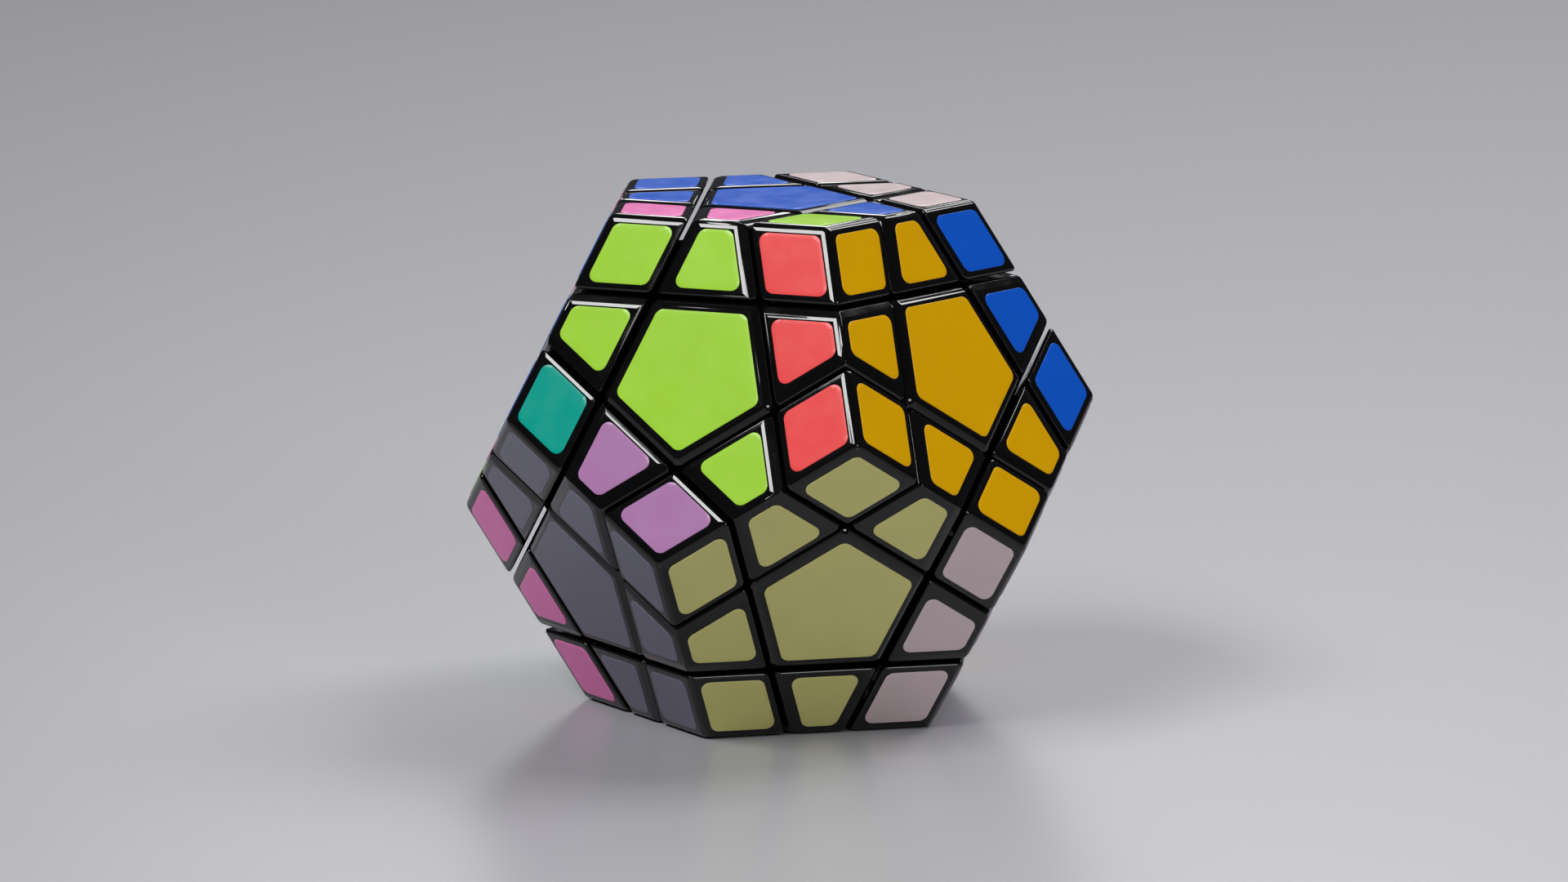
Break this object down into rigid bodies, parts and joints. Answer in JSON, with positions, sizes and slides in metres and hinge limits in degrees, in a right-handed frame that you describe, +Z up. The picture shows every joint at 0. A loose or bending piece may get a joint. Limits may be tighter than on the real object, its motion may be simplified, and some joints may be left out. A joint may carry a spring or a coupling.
{
  "type": "dodecahedron twisty puzzle",
  "caption": "Black dodecahedron twisty puzzle with coloured tiles, whose layers turn about the axes of its pentagonal faces on a sprung core.",
  "frame": {"origin": "middle of the puzzle, where the axes of all the faces meet", "axes": "+Z up, out of the middle of the top face; -Y to the front, over the edge between the front left and front right faces; +X to the right"},
  "size_m": [0.0812, 0.0854, 0.07],
  "materials": {
    "black_plastic": "glossy moulded black plastic",
    "core_plastic": "plain moulded plastic",
    "steel": "bright zinc-plated steel",
    "tile_blue": "satin blue plastic tile",
    "tile_pink": "satin pink plastic tile",
    "tile_lime": "satin lime plastic tile",
    "tile_white": "satin white plastic tile",
    "tile_red": "satin red plastic tile",
    "tile_amber": "satin amber plastic tile",
    "tile_khaki": "satin khaki plastic tile",
    "tile_grey": "satin grey plastic tile",
    "tile_teal": "satin teal plastic tile",
    "tile_lilac": "satin lilac plastic tile",
    "tile_orange": "satin orange plastic tile",
    "tile_green": "satin green plastic tile"
  },
  "bodies": {
    "body": {"core": "core_plastic", "core_screws": "steel", "screw_washers": "steel", "tension_springs": "steel", "centre_front_right": "black_plastic", "centre_right": "black_plastic", "centre_back": "black_plastic", "centre_left": "black_plastic", "centre_front_left": "black_plastic", "centre_low_right": "black_plastic", "centre_low_back": "black_plastic", "centre_low_left": "black_plastic", "centre_bottom": "black_plastic", "caps_fixed": "black_plastic", "edges_fixed": "black_plastic", "corners_fixed": "black_plastic", "tiles_fixed": "tile_lime"},
    "top_layer": {"centre_top": "black_plastic", "cap_top": "black_plastic", "top_edge_1": "black_plastic", "top_edge_2": "black_plastic", "top_edge_3": "black_plastic", "top_edge_4": "black_plastic", "top_edge_5": "black_plastic", "top_corner_1": "black_plastic", "top_corner_2": "black_plastic", "top_corner_3": "black_plastic", "top_corner_4": "black_plastic", "top_corner_5": "black_plastic", "tiles_top": "tile_blue"},
    "front_layer": {"centre_front": "black_plastic", "cap_front": "black_plastic", "front_edge_1": "black_plastic", "front_edge_2": "black_plastic", "front_edge_3": "black_plastic", "front_edge_4": "black_plastic", "front_edge_5": "black_plastic", "front_corner_1": "black_plastic", "front_corner_2": "black_plastic", "front_corner_3": "black_plastic", "front_corner_4": "black_plastic", "front_corner_5": "black_plastic", "tiles_front": "tile_khaki"},
    "rear_layer": {"centre_rear": "black_plastic", "cap_rear": "black_plastic", "rear_edge_1": "black_plastic", "rear_edge_2": "black_plastic", "rear_edge_3": "black_plastic", "rear_edge_4": "black_plastic", "rear_edge_5": "black_plastic", "rear_corner_1": "black_plastic", "rear_corner_2": "black_plastic", "rear_corner_3": "black_plastic", "rear_corner_4": "black_plastic", "rear_corner_5": "black_plastic", "tiles_rear": "tile_teal"}
  },
  "joints": [
    {"name": "top_turn", "type": "hinge", "parent": "body", "child": "top_layer", "pos_m": [0, 0, 0], "axis": [0, 0, 1], "continuous": true},
    {"name": "front_turn", "type": "hinge", "parent": "body", "child": "front_layer", "pos_m": [0, 0, 0], "axis": [0, -0.8944, -0.4472], "continuous": true},
    {"name": "rear_turn", "type": "hinge", "parent": "body", "child": "rear_layer", "pos_m": [0, 0, 0], "axis": [-0.5257, 0.7236, -0.4472], "continuous": true}
  ]
}
